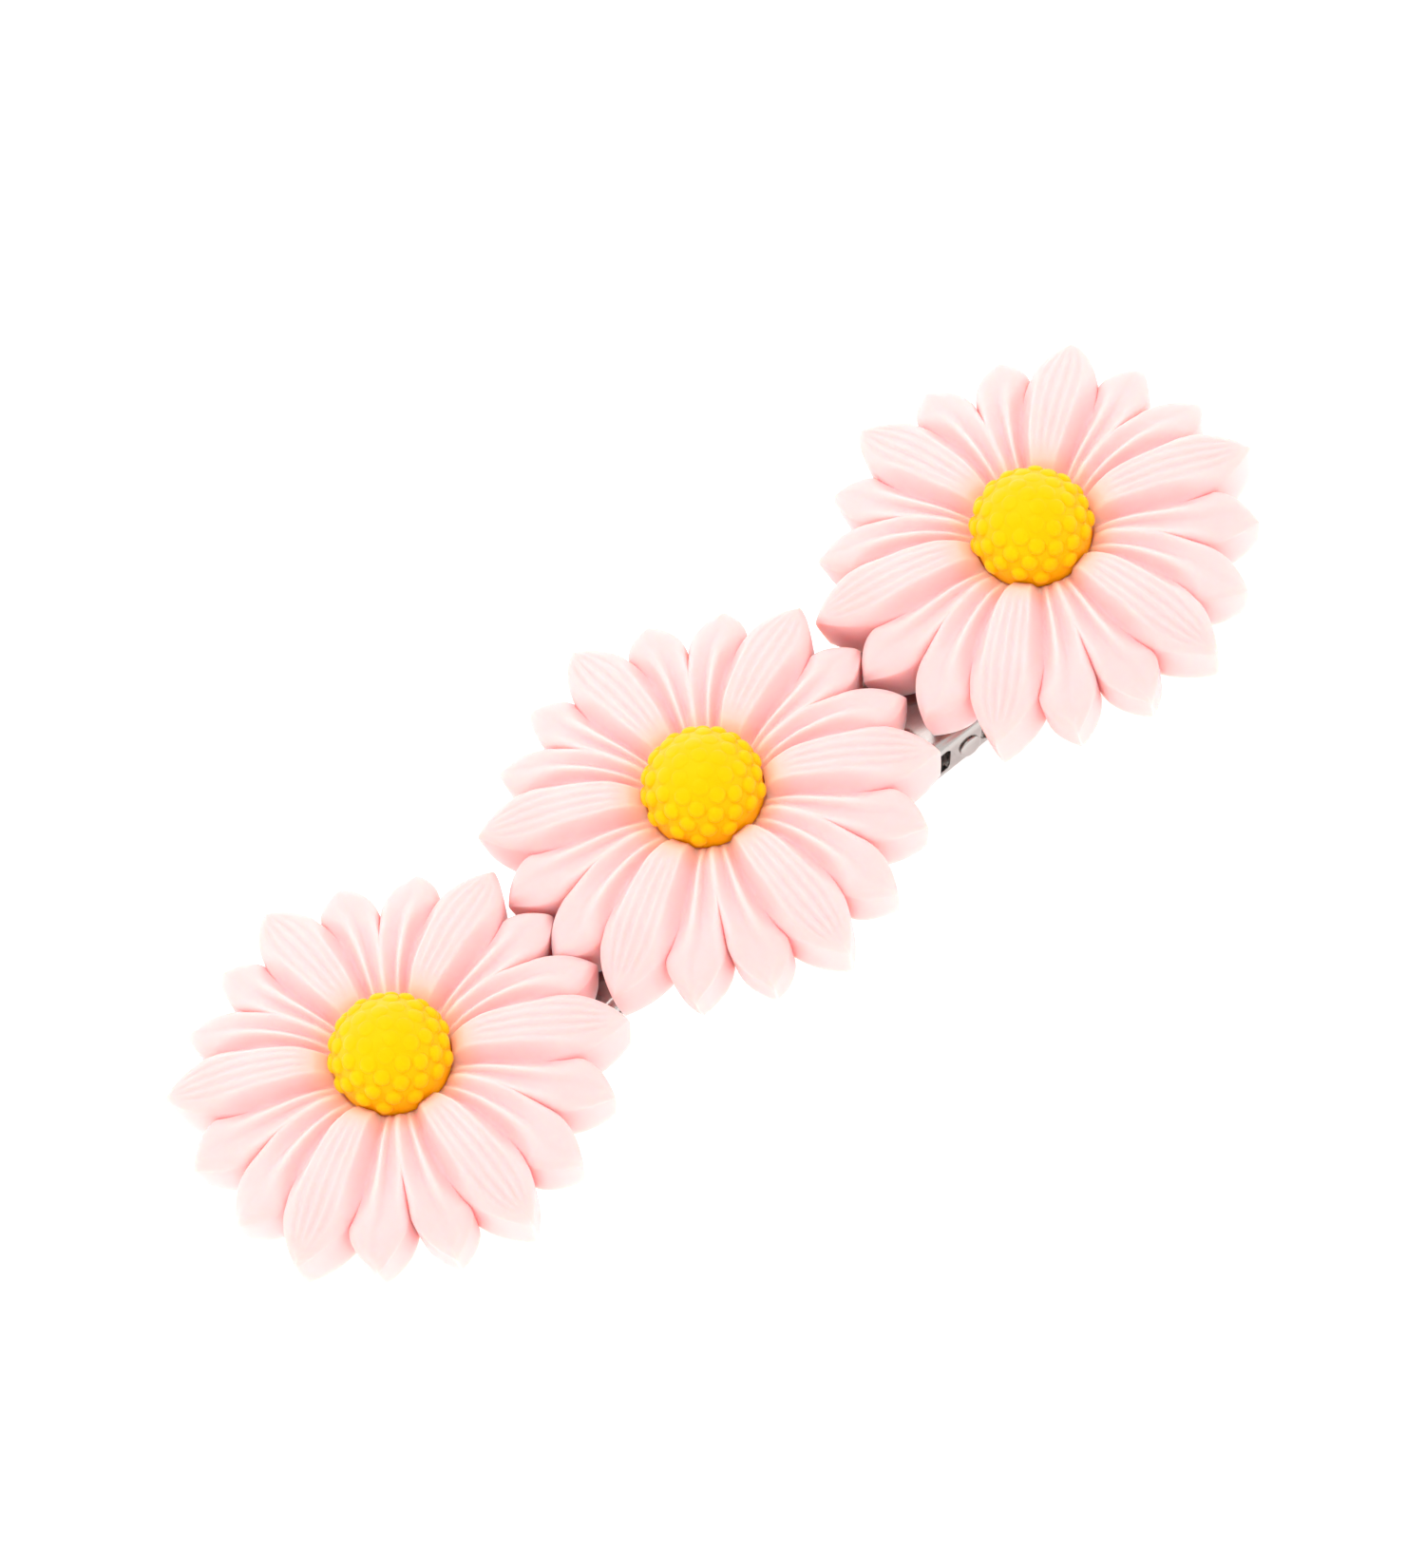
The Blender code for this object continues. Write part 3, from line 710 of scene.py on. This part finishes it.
def spring_path():
    """Centre line of the wire: a leg under the top pad, the coil, a leg on the lower pad."""
    coil_radius = PIN_RADIUS + COIL_CLEARANCE + WIRE_RADIUS
    side_y = COIL_PITCH * COIL_HALF_TURNS / 4
    clear = WIRE_RADIUS + CONTACT_GAP
    leg_end = HINGE_X + SPRING_LEG_LENGTH
    upper_z = TOP_Z - SHEET - clear
    path = [(leg_end, -side_y, upper_z), (leg_end - SPRING_LEG_END, -side_y, upper_z),
            (PAD_START_X, -side_y, upper_z - CONTACT_GAP)]
    for share in np.linspace(0, 1, HALF_TURN_STEPS * COIL_HALF_TURNS + 1):
        turn = math.pi / 2 + math.pi * COIL_HALF_TURNS * share
        path.append((HINGE_X + coil_radius * math.cos(turn), side_y * (2 * share - 1),
                     PIN_Z + coil_radius * math.sin(turn)))
    for x in (PAD_START_X - BEND_LENGTH, PAD_START_X, PAD_START_X + BEND_LENGTH,
              leg_end - SPRING_LEG_END, leg_end):
        path.append((x, side_y, lower_leaf_z(x) + SHEET + clear / math.cos(PAD_SLOPE)))
    return path, side_y


def eased(path):
    """A path with its corners cut twice."""
    line = np.array(path, float)
    for _ in range(2):
        cut = np.empty((2 * len(line), 3))
        cut[0], cut[-1] = line[0], line[-1]
        cut[1:-1:2] = 0.75 * line[:-1] + 0.25 * line[1:]
        cut[2:-1:2] = 0.25 * line[:-1] + 0.75 * line[1:]
        line = cut
    return line


def tube(path, radius, sides):
    """A round wire along a path, with domed ends."""
    line = eased(path)
    along = np.gradient(line, axis=0)
    along /= np.linalg.norm(along, axis=1)[:, None]
    dome = [(radius - d, math.sqrt(radius**2 - (radius - d) ** 2))
            for d in radius * (1 - np.cos(np.linspace(0, math.pi / 2, 5)[1:-1]))]
    rings = [(line[0] - along[0] * out, size, along[0]) for out, size in dome]
    rings += [(place, radius, t) for place, t in zip(line, along)]
    rings += [(line[-1] + along[-1] * out, size, along[-1]) for out, size in reversed(dome)]
    side = np.cross(along[0], (0, 1, 0))
    points, faces = [line[0] - along[0] * radius], []
    for place, size, t in rings:
        side = side - t * (side @ t)
        side /= np.linalg.norm(side)
        other = np.cross(t, side)
        for i in range(sides):
            turn = 2 * math.pi * i / sides
            points.append(place + size * (side * math.cos(turn) + other * math.sin(turn)))
    points.append(line[-1] + along[-1] * radius)
    end = 1 + (len(rings) - 1) * sides
    for j in range(sides):
        k = (j + 1) % sides
        faces.append([0, 1 + k, 1 + j])
        faces.append([len(points) - 1, end + j, end + k])
        for a in range(1, end, sides):
            faces.append([a + j, a + k, a + sides + k, a + sides + j])
    return np.array(points, float) * MM, faces


def glue_data(low_z, high_z, radius, shift):
    """A pressed drop of glue: an uneven outline and a bulging edge between a leaf and a daisy."""
    middle, half = (low_z + high_z) / 2, (high_z - low_z) / 2
    points, faces = [(0, 0, high_z)], []
    for i in range(GLUE_ROWS):
        tilt = math.pi / 2 * (1 - 2 * (i + 0.5) / GLUE_ROWS)
        for j in range(GLUE_COLUMNS):
            turn = 2 * math.pi * j / GLUE_COLUMNS
            waves = sum(size * math.sin(count * turn + follow * shift)
                        for size, count, follow in GLUE_WAVES)
            reach = radius * (1 + waves) + GLUE_BULGE * (math.cos(tilt) - 1)
            points.append((reach * math.cos(turn), reach * math.sin(turn),
                           middle + half * math.sin(tilt)))
    points.append((0, 0, low_z))
    end = 1 + (GLUE_ROWS - 1) * GLUE_COLUMNS
    for j in range(GLUE_COLUMNS):
        k = (j + 1) % GLUE_COLUMNS
        faces.append([0, 1 + j, 1 + k])
        faces.append([len(points) - 1, end + k, end + j])
        for a in range(1, end, GLUE_COLUMNS):
            b = a + GLUE_COLUMNS
            faces.append([a + j, b + j, b + k, a + k])
    return np.array(points, float) * MM, faces


# Materials


def new_material(name):
    material = bpy.data.materials.new(name)
    material.use_nodes = True
    nodes, links = material.node_tree.nodes, material.node_tree.links
    return material, nodes, links, nodes["Principled BSDF"]


def noise(nodes, links, scale, detail=3.0):
    place = nodes.new("ShaderNodeTexCoord")
    texture = nodes.new("ShaderNodeTexNoise")
    texture.inputs["Scale"].default_value = scale
    texture.inputs["Detail"].default_value = detail
    links.new(place.outputs["Object"], texture.inputs["Vector"])
    return texture.outputs["Fac"]


def ramp(nodes, links, source, low, high):
    """A blend between two (position, colour) stops."""
    blend = nodes.new("ShaderNodeValToRGB")
    for element, (position, colour) in zip(blend.color_ramp.elements, (low, high)):
        element.position, element.color = position, (*colour, 1)
    links.new(source, blend.inputs["Fac"])
    return blend.outputs["Color"]


def add_bump(nodes, links, shader, height, strength, distance):
    bump = nodes.new("ShaderNodeBump")
    bump.inputs["Strength"].default_value = strength
    bump.inputs["Distance"].default_value = distance
    links.new(height, bump.inputs["Height"])
    links.new(bump.outputs["Normal"], shader.inputs["Normal"])


def resin_material(name, light, dark, radius, weight, roughness, shine=(1.0, 1.0, 1.0)):
    """Soft translucent resin: a slow drift in tone, an uneven skin and light through thin edges."""
    material, nodes, links, shader = new_material(name)
    tone = ramp(nodes, links, noise(nodes, links, 260.0), (0.35, dark), (0.65, light))
    links.new(tone, shader.inputs["Base Color"])
    shader.inputs["Subsurface Weight"].default_value = weight
    shader.inputs["Subsurface Radius"].default_value = radius
    shader.inputs["Subsurface Scale"].default_value = 1.0
    shader.inputs["Specular IOR Level"].default_value = 0.35
    shader.inputs["Specular Tint"].default_value = (*shine, 1.0)
    spread = nodes.new("ShaderNodeMapRange")
    spread.inputs["To Min"].default_value = roughness - 0.06
    spread.inputs["To Max"].default_value = roughness + 0.06
    links.new(noise(nodes, links, 900.0, 2.0), spread.inputs["Value"])
    links.new(spread.outputs["Result"], shader.inputs["Roughness"])
    add_bump(nodes, links, shader, noise(nodes, links, 2500.0, 4.0), 0.08, 0.05 * MM)
    return material


def paint_root_glow(material):
    """Paints a warm glow into the petals' base colour near their roots, standing in for the light
    that the yellow centre throws on them.
    """
    nodes, links = material.node_tree.nodes, material.node_tree.links
    colour = nodes["Principled BSDF"].inputs["Base Color"]
    resin = colour.links[0].from_socket
    place = nodes.new("ShaderNodeTexCoord")
    flat = nodes.new("ShaderNodeVectorMath")
    flat.operation = "MULTIPLY"
    flat.inputs[1].default_value = (1.0, 1.0, 0.0)
    distance = nodes.new("ShaderNodeVectorMath")
    distance.operation = "LENGTH"
    fade = nodes.new("ShaderNodeMapRange")
    fade.interpolation_type = "SMOOTHSTEP"
    fade.inputs["From Min"].default_value = ROOT_RADIUS * MM
    fade.inputs["From Max"].default_value = PAINTED_GLOW_RADIUS * MM
    fade.inputs["To Min"].default_value = PAINTED_GLOW_STRENGTH
    fade.inputs["To Max"].default_value = 0.0
    # the painted glow is blended into the resin's colour, strongest at the roots
    mix = nodes.new("ShaderNodeMix")
    mix.data_type = "RGBA"
    mix.inputs["B"].default_value = PAINTED_GLOW_COLOUR
    links.new(place.outputs["Object"], flat.inputs[0])
    links.new(flat.outputs["Vector"], distance.inputs[0])
    links.new(distance.outputs["Value"], fade.inputs["Value"])
    links.new(fade.outputs["Result"], mix.inputs["Factor"])
    links.new(resin, mix.inputs["A"])
    links.new(mix.outputs["Result"], colour)


def steel_material(name, tone, roughness):
    """Bright plated steel: faint draw lines along the clip, and a patchy haze."""
    material, nodes, links, shader = new_material(name)
    place = nodes.new("ShaderNodeTexCoord")
    stretch = nodes.new("ShaderNodeMapping")
    stretch.inputs["Scale"].default_value = (60.0, 4000.0, 4000.0)
    lines = nodes.new("ShaderNodeTexNoise")
    lines.inputs["Scale"].default_value = 1.0
    lines.inputs["Detail"].default_value = 4.0
    links.new(place.outputs["Object"], stretch.inputs["Vector"])
    links.new(stretch.outputs["Vector"], lines.inputs["Vector"])
    haze = nodes.new("ShaderNodeMath")
    haze.operation = "MULTIPLY_ADD"
    haze.inputs[1].default_value = 0.12
    haze.inputs[2].default_value = roughness - 0.06
    links.new(noise(nodes, links, 300.0), haze.inputs[0])
    links.new(haze.outputs[0], shader.inputs["Roughness"])
    dull = tuple(part * 0.9 for part in tone)
    links.new(ramp(nodes, links, lines.outputs["Fac"], (0.3, dull), (0.7, tone)),
              shader.inputs["Base Color"])
    shader.inputs["Metallic"].default_value = 1.0
    add_bump(nodes, links, shader, lines.outputs["Fac"], 0.1, 0.02 * MM)
    return material


def glue_material():
    """Clear set glue, slightly clouded."""
    material, nodes, links, shader = new_material("clear_glue")
    cloud = noise(nodes, links, 700.0)
    links.new(ramp(nodes, links, cloud, (0.3, (0.82, 0.79, 0.72)), (0.7, (0.93, 0.91, 0.87))),
              shader.inputs["Base Color"])
    shader.inputs["Roughness"].default_value = 0.2
    shader.inputs["Transmission Weight"].default_value = 0.6
    shader.inputs["IOR"].default_value = 1.48
    return material


def floor_material():
    """Pale back-lit floor that can't be seen from below, so that the underside stays in view."""
    material, nodes, links, shader = new_material("floor")
    shader.inputs["Roughness"].default_value = 0.9
    shader.inputs["Emission Color"].default_value = (1.0, 1.0, 1.0, 1.0)
    shader.inputs["Emission Strength"].default_value = 0.4
    tone = ramp(nodes, links, noise(nodes, links, 8.0), (0.3, (0.93,) * 3), (0.7, (0.97,) * 3))
    links.new(tone, shader.inputs["Base Color"])
    side = nodes.new("ShaderNodeNewGeometry")
    clear = nodes.new("ShaderNodeBsdfTransparent")
    mix = nodes.new("ShaderNodeMixShader")
    links.new(side.outputs["Backfacing"], mix.inputs["Fac"])
    links.new(shader.outputs["BSDF"], mix.inputs[1])
    links.new(clear.outputs["BSDF"], mix.inputs[2])
    links.new(mix.outputs["Shader"], nodes["Material Output"].inputs["Surface"])
    return material


# Pieces


def make_mesh(name, points, faces, sharp_degrees=70):
    mesh = bpy.data.meshes.new(name)
    mesh.from_pydata([tuple(p) for p in points], [], [[int(v) for v in f] for f in faces])
    mesh.shade_smooth()
    mesh.set_sharp_from_angle(angle=math.radians(sharp_degrees))
    return mesh


def add_object(name, data, matrix=Matrix()):
    obj = bpy.data.objects.new(name, data)
    obj.matrix_world = matrix
    bpy.context.scene.collection.objects.link(obj)
    return obj


def add_piece(name, mesh, material, body, node, matrix=Matrix()):
    """A piece that has a material slot, stands for a node, and rides on a body if one is given."""
    if not mesh.materials:
        mesh.materials.append(material)
    obj = add_object(name, mesh, matrix)
    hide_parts(node)
    if body:
        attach(obj, body)
    return obj


def hinge_place():
    return Matrix.Translation(Vector((HINGE_X, 0, PIN_Z)) * MM)


def daisy_place(side):
    """The middle of a daisy's flat back, in metres."""
    low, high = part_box("glue_pad_" + side)
    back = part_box("petal_rosette_" + side)[0].z
    return Vector(((low.x + high.x) / 2, (low.y + high.y) / 2, back))


def add_daisies():
    """Three castings of one daisy, each at its own turn."""
    petals = resin_material("pink_resin", (0.93, 0.54, 0.535), (0.92, 0.52, 0.51),
                            (1.6 * MM, 0.7 * MM, 0.5 * MM), 0.9, 0.45)
    # painted warm light on the petals' roots, standing in for the glow from the yellow centre
    paint_root_glow(petals)
    centres = resin_material("yellow_resin", (0.95, 0.49, 0.0), (0.93, 0.46, 0.0),
                             (0.6 * MM, 0.4 * MM, 0.1 * MM), 0.5, 0.4, (1.0, 0.85, 0.1))
    rosette = make_mesh("petal_rosette", *rosette_data())
    centre = make_mesh("flower_centre", *centre_data(), sharp_degrees=BEAD_SHARP_DEGREES)
    for side, turn in DAISY_TURNS.items():
        place = Matrix.Translation(daisy_place(side))
        spin = place @ Matrix.Rotation(math.radians(turn), 4, "Z")
        add_piece("daisy_petals_" + side, rosette, petals, "clip_top",
                  "petal_rosette_" + side, spin)
        add_piece("daisy_centre_" + side, centre, centres, "clip_top",
                  "flower_centre_" + side, spin)


def add_glue():
    """A pressed drop of glue under each daisy."""
    clear = glue_material()
    for number, side in enumerate(DAISY_TURNS):
        low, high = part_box("glue_pad_" + side)
        place = daisy_place(side)
        shift = FIRST_GLUE_SHIFT + GLUE_SHIFT_STEP * number
        radius = (high.x - low.x) / 2 / MM
        drop = glue_data(TOP_Z, place.z / MM + BACK_HOLLOW, radius, shift)
        add_piece("glue_" + side, make_mesh("glue_" + side, *drop), clear,
                  "clip_top", "glue_pad_" + side, Matrix.Translation((place.x, place.y, 0)))


def add_leaf(name, data, material, body, node):
    """A leaf with its pin holes cut through its ears."""
    end = PIN_HOLE_LENGTH / 2
    rod = turned([(0, -end), (PIN_HOLE_RADIUS, -end), (PIN_HOLE_RADIUS, end), (0, end)])
    cutter = add_object("pin_hole", make_mesh("pin_hole", *rod), hinge_place())
    blank = add_object(name, make_mesh(name, *data, sharp_degrees=METAL_SHARP_DEGREES))
    hole = blank.modifiers.new("pin hole", "BOOLEAN")
    hole.operation, hole.solver, hole.object = "DIFFERENCE", "EXACT", cutter
    bpy.context.view_layer.update()
    evaluated = blank.evaluated_get(bpy.context.evaluated_depsgraph_get())
    leaf = bpy.data.meshes.new_from_object(evaluated)
    bpy.data.objects.remove(blank)
    bpy.data.objects.remove(cutter)
    weld = bmesh.new()
    weld.from_mesh(leaf)
    bmesh.ops.remove_doubles(weld, verts=weld.verts, dist=WELD_DISTANCE * MM)
    weld.to_mesh(leaf)
    weld.free()
    leaf.set_sharp_from_angle(angle=math.radians(METAL_SHARP_DEGREES))
    add_piece(name, leaf, material, body, node)


def add_clip():
    """The two leaves, the pin, and the spring, which bends across the hinge."""
    steel = steel_material("plated_steel", (0.42, 0.395, 0.38), 0.22)
    wire = steel_material("spring_wire", (0.42, 0.41, 0.40), 0.3)
    upper = leaf_data(JAW_TIP_X, 0.0, lambda x: TOP_Z, lambda x: ear(x, UPPER_EAR_DEPTH), False)
    add_leaf("clip_top_leaf", upper, steel, "clip_top", "upper_leaf")
    lower = leaf_data(LOWER_TIP_X, LOWER_INSET, lower_leaf_z,
                      lambda x: max(tooth(x), ear(x, LOWER_EAR_HEIGHT)), True)
    add_leaf("clip_bottom_leaf", lower, steel, "clip_bottom", "lower_leaf")
    pin = make_mesh("clip_pin", *turned(pin_profile()), sharp_degrees=METAL_SHARP_DEGREES)
    add_piece("clip_pin", pin, steel, "clip_top", "hinge_pin", hinge_place())
    path, side_y = spring_path()
    coil = make_mesh("clip_spring", *tube(path, WIRE_RADIUS, WIRE_SIDES))
    spring = add_piece("clip_spring", coil, wire, None, "torsion_spring")
    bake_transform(spring)


# Floor, camera and light. Distances are in millimetres, and the camera's angles in degrees.

FLOOR_DROP = 0.3
FLOOR_HALF = 2500.0
CAMERA_AZIMUTH = -22.1
CAMERA_ELEVATION = 57.75
CAMERA_ROLL = -20.5
CAMERA_DISTANCE = 630.2
CAMERA_TO_LEFT = 0.25
CAMERA_TO_TOP = 2.01
FOCAL_LENGTH = 299.9
NEAREST_SEEN = 50.0
FARTHEST_SEEN = 20000.0
LAMP_DISTANCE = 1200.0
LAMP_SIZE = 900.0
LAMP_POWER = 4.5
LAMP_BACK = 0.8
LAMP_UP = 0.7
LAMP_TO_LEFT = 0.45
SURROUND_COLOUR = (1.0, 0.99, 0.98, 1.0)
SURROUND_STRENGTH = 1.35


def add_floor():
    half, z = FLOOR_HALF * MM, cad_low.z - FLOOR_DROP * MM
    corners = [(-half, -half, z), (half, -half, z), (half, half, z), (-half, half, z)]
    floor_mesh = bpy.data.meshes.new("floor")
    floor_mesh.from_pydata(corners, [], [(0, 1, 2, 3)])
    floor_mesh.materials.append(floor_material())
    add_object("floor", floor_mesh)


def camera_axes():
    """The camera's right, up and backward directions."""
    azimuth, elevation = math.radians(CAMERA_AZIMUTH), math.radians(CAMERA_ELEVATION)
    roll = math.radians(CAMERA_ROLL)
    back = Vector((math.sin(azimuth) * math.cos(elevation),
                   -math.cos(azimuth) * math.cos(elevation), math.sin(elevation)))
    level = Vector((math.cos(azimuth), math.sin(azimuth), 0))
    upright = back.cross(level)
    right = math.cos(roll) * level + math.sin(roll) * upright
    return right, math.cos(roll) * upright - math.sin(roll) * level, back


def add_camera(target, right, up, back):
    camera = bpy.data.cameras.new("camera")
    camera.lens = FOCAL_LENGTH
    camera.clip_start, camera.clip_end = NEAREST_SEEN * MM, FARTHEST_SEEN * MM
    where = target + (back * CAMERA_DISTANCE - right * CAMERA_TO_LEFT + up * CAMERA_TO_TOP) * MM
    facing = Matrix((right, up, back)).transposed().to_4x4()
    bpy.context.scene.camera = add_object("camera", camera, Matrix.Translation(where) @ facing)


def add_soft_light(target, right, up, back):
    """A large round lamp high on the left, and an even pale surround."""
    lamp = bpy.data.lights.new("key", "AREA")
    lamp.shape = "DISK"
    lamp.size = LAMP_SIZE * MM
    lamp.energy = LAMP_POWER
    direction = (back * LAMP_BACK + up * LAMP_UP - right * LAMP_TO_LEFT).normalized()
    facing = direction.to_track_quat("Z", "Y").to_matrix().to_4x4()
    where = target + direction * LAMP_DISTANCE * MM
    add_object("key", lamp, Matrix.Translation(where) @ facing)
    surround = bpy.data.worlds.new("studio")
    surround.use_nodes = True
    background = surround.node_tree.nodes["Background"]
    background.inputs["Color"].default_value = SURROUND_COLOUR
    background.inputs["Strength"].default_value = SURROUND_STRENGTH
    bpy.context.scene.world = surround


add_daisies()
add_glue()
add_clip()
add_floor()
view_axes = camera_axes()
view_target = daisy_place("middle")
add_camera(view_target, *view_axes)
add_soft_light(view_target, *view_axes)
bpy.context.scene.view_settings.view_transform = "Standard"
